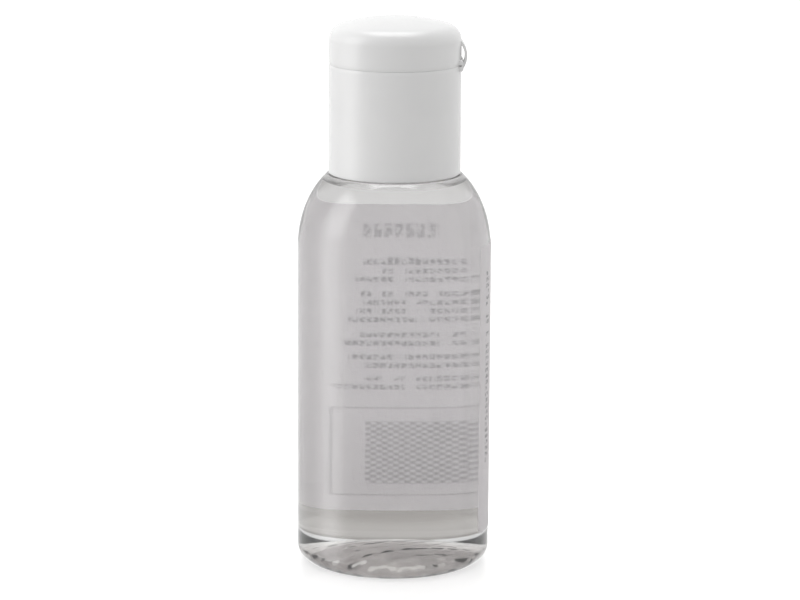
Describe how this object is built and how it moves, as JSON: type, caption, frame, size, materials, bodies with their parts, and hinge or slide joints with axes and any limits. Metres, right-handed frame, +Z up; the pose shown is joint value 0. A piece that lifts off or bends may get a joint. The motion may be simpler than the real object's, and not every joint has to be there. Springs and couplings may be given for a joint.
{
  "type": "flip-top liquid bottle",
  "caption": "Clear round travel bottle filled with clear liquid, with a thin milky film label and a white screw cap whose flip lid opens on a film hinge.",
  "frame": {"origin": "middle of the bottle's base on the plane it stands on", "axes": "+Z up the bottle's axis, +X towards the lid's hinge, -Y the side that is pictured, +Y the far side, which carries the label"},
  "size_m": [0.0361, 0.0361, 0.1031],
  "materials": {
    "clear_bottle": "clear polished PET",
    "clear_solution": "clear colourless liquid",
    "label_film": null,
    "liner_foam": "soft foam washer",
    "white_cap": "smooth white polypropylene"
  },
  "bodies": {
    "bottle": {"bottle": "clear_bottle", "solution": "clear_solution", "label": "label_film"},
    "washer": {"sealing_liner": "liner_foam"},
    "cap": {"cap_base": "white_cap", "hinge_films": "white_cap", "hinge_strap": "white_cap"},
    "lid": {"flip_lid": "white_cap"}
  },
  "joints": [
    {"name": "cap_lift", "type": "slide", "parent": "bottle", "child": "washer", "axis": [0, 0, 1], "range_m": [0, 0.0048]},
    {"name": "cap_turn", "type": "hinge", "parent": "washer", "child": "cap", "pos_m": [0, 0, 0.08985], "axis": [0, 0, 1], "range_deg": [0, 540]},
    {"name": "lid_flip", "type": "hinge", "parent": "cap", "child": "lid", "pos_m": [0.0126, 0, 0.09432], "axis": [0, 1, 0], "range_deg": [0, 150], "deforming": ["hinge_strap"]}
  ],
  "couplings": [
    {"joint": "cap_lift", "follows": "cap_turn", "m_per_rad": 0.00050532}
  ]
}
